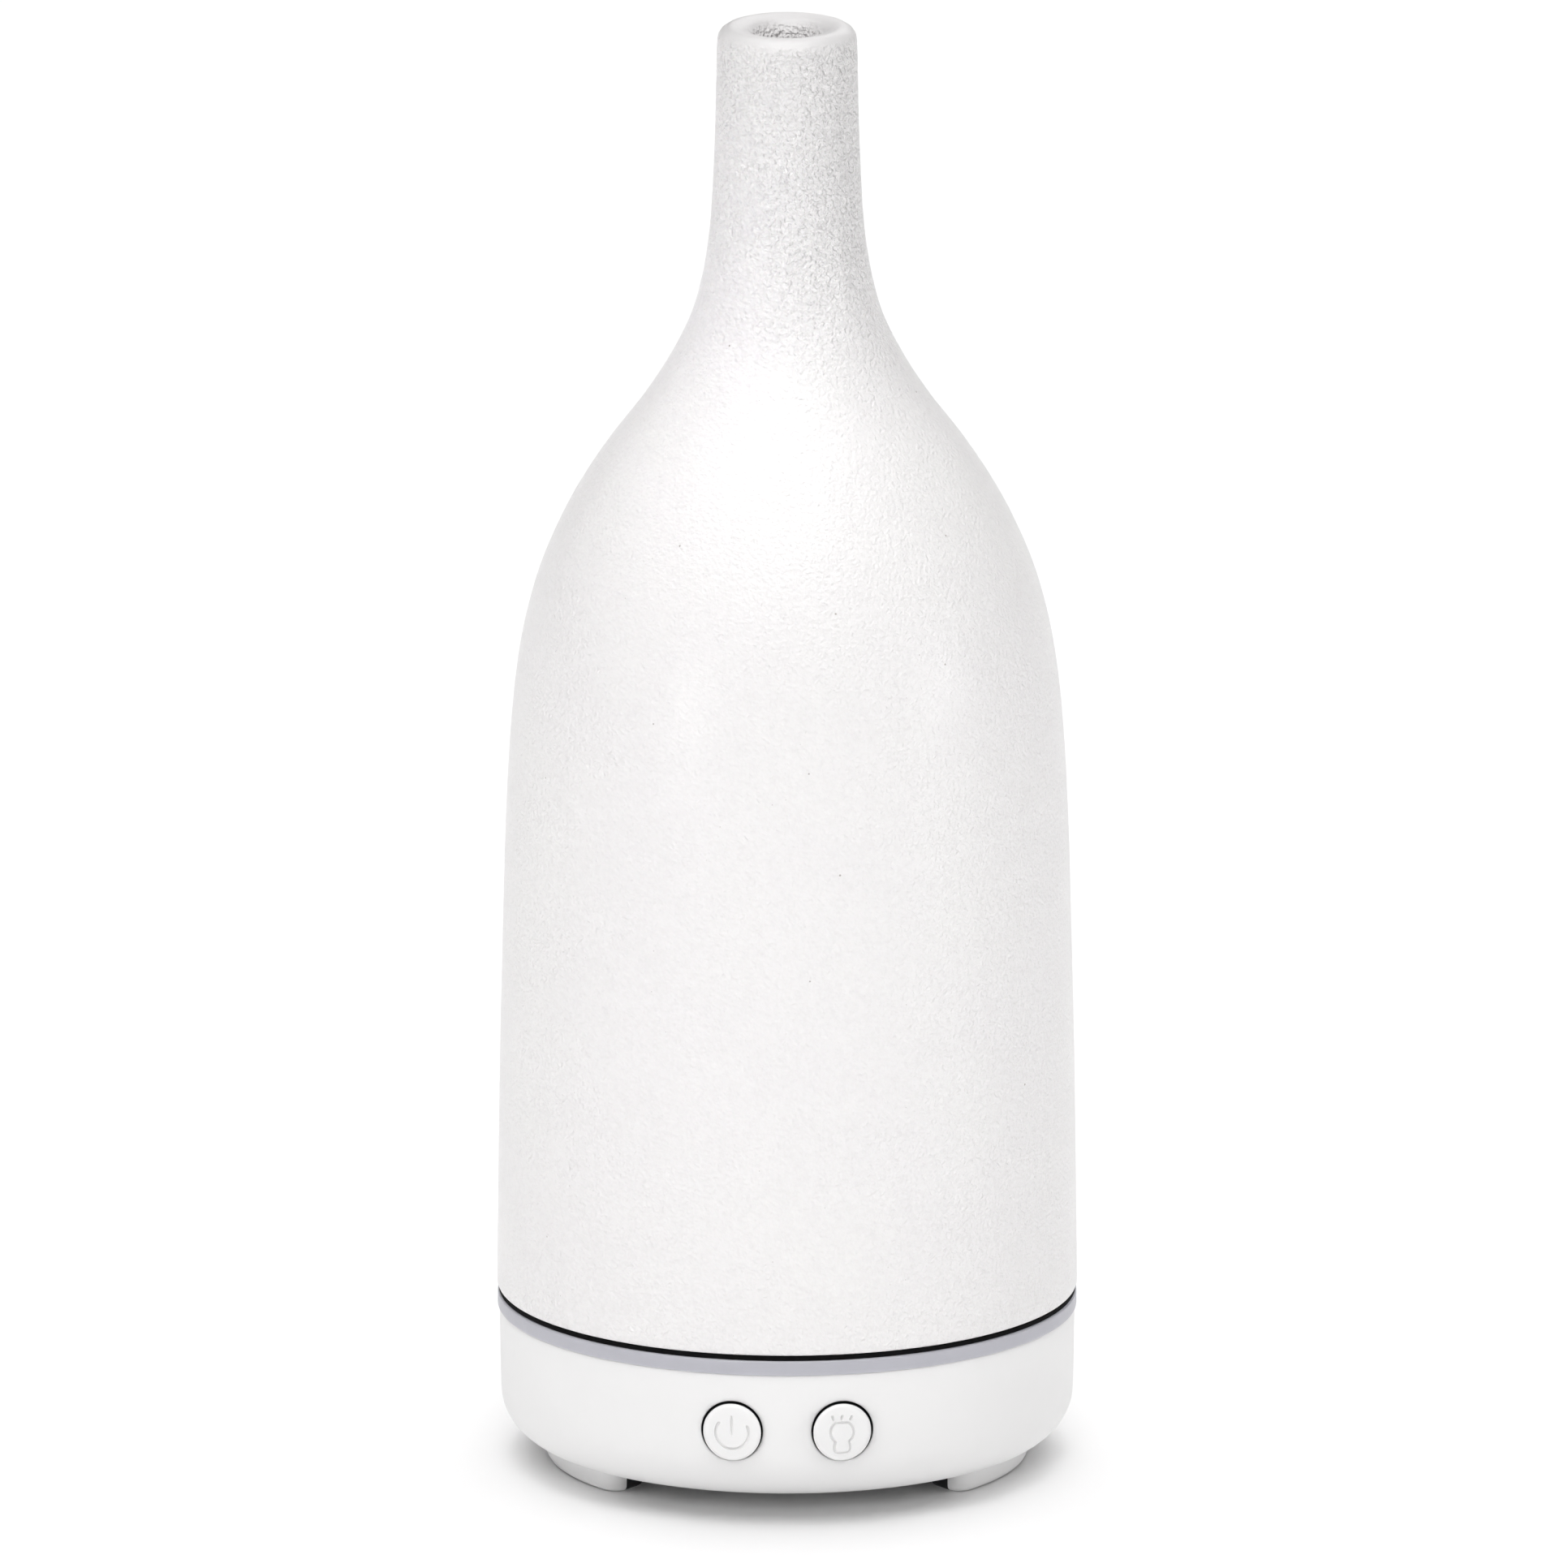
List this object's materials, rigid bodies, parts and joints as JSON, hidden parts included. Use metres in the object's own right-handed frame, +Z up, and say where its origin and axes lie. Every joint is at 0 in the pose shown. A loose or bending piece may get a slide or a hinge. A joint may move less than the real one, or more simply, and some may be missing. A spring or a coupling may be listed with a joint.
{
  "type": "ultrasonic essential oil diffuser",
  "caption": "Ultrasonic aroma diffuser: a bottle-shaped matt white stoneware cover over a water tank, on a round white base with a light ring and push buttons.",
  "frame": {"origin": "on the resting surface, below the axis of the bottle", "axes": "+Z up through the bottle's mouth; the two buttons face -Y and the power inlet faces +Y; +X is to the right as the buttons are seen"},
  "size_m": [0.0918, 0.0926, 0.233],
  "materials": {
    "stoneware": "fine-grained matt white glaze",
    "white_shell": "satin white moulding",
    "tank_plastic": "smooth white moulding",
    "frosted_plastic": "frosted translucent moulding",
    "light_ring": "frosted translucent grey",
    "cushion": "black closed-cell foam rubber",
    "silicone": "pale silicone",
    "foot_pad": "matt grey",
    "board": "green lacquer on glass-fibre board",
    "black_plastic": "satin black moulding",
    "steel": "bright plated",
    "brass": "bright",
    "aluminium": "extruded, plain",
    "copper": "enamelled copper wire",
    "ferrite": "dark grey sintered",
    "capacitor": "dark blue sleeve",
    "socket": "cream moulding",
    "led": "pale yellow lens",
    "piezo": "silvered ceramic",
    "lead": "red insulation"
  },
  "bodies": {
    "base": {"base_shell": "white_shell", "board_screw_1": "steel", "board_screw_2": "steel", "board_screw_3": "steel", "bottom_cover": "white_shell", "button_board": "board", "button_lead": "lead", "button_socket": "socket", "capacitor": "capacitor", "case_screw_1": "steel", "case_screw_2": "steel", "case_screw_3": "steel", "case_screw_4": "steel", "coil_core": "ferrite", "coil_winding": "copper", "control_chip": "black_plastic", "cover_cushion": "cushion", "fan_duct": "frosted_plastic", "fan_frame": "black_plastic", "fan_lead": "lead", "fan_screw_1": "steel", "fan_screw_2": "steel", "foot_pad_front_left": "foot_pad", "foot_pad_front_right": "foot_pad", "foot_pad_rear_left": "foot_pad", "foot_pad_rear_right": "foot_pad", "heat_sink": "aluminium", "led_board_left": "board", "led_board_right": "board", "led_lead_left": "lead", "led_lead_right": "lead", "led_left_1": "led", "led_left_2": "led", "led_right_1": "led", "led_right_2": "led", "led_socket": "socket", "light_ring": "light_ring", "light_switch": "steel", "main_board": "board", "power_jack": "black_plastic", "power_jack_pin": "brass", "power_switch": "steel", "ring_gasket": "silicone", "transducer_disc": "piezo", "transducer_lead": "lead", "transducer_plate": "steel", "transducer_screw_1": "steel", "transducer_screw_2": "steel", "transducer_screw_3": "steel", "transducer_seal": "silicone", "transducer_socket": "socket", "transistor": "black_plastic", "water_tank": "tank_plastic"},
    "power_button": {"power_button": "white_shell", "power_switch_plunger": "black_plastic"},
    "light_button": {"light_button": "white_shell", "light_switch_plunger": "black_plastic"},
    "fan_rotor": {"fan_rotor": "black_plastic"},
    "inner_cover": {"inner_cover": "frosted_plastic"},
    "ceramic_cover": {"ceramic_cover": "stoneware"}
  },
  "joints": [
    {"name": "inner_cover_lift", "type": "slide", "parent": "base", "child": "inner_cover", "axis": [0, 0, 1], "range_m": [0, 0.05]},
    {"name": "ceramic_cover_lift", "type": "slide", "parent": "inner_cover", "child": "ceramic_cover", "axis": [0, 0, 1], "range_m": [0, 0.13]},
    {"name": "power_button_press", "type": "slide", "parent": "base", "child": "power_button", "axis": [0, 1, 0], "range_m": [0, 0.0006], "stiffness_N_per_m": 600},
    {"name": "light_button_press", "type": "slide", "parent": "base", "child": "light_button", "axis": [0, 1, 0], "range_m": [0, 0.0006], "stiffness_N_per_m": 600},
    {"name": "fan_spin", "type": "hinge", "parent": "base", "child": "fan_rotor", "pos_m": [-0.02, 0, 0.012], "axis": [0, 0, 1], "continuous": true}
  ]
}
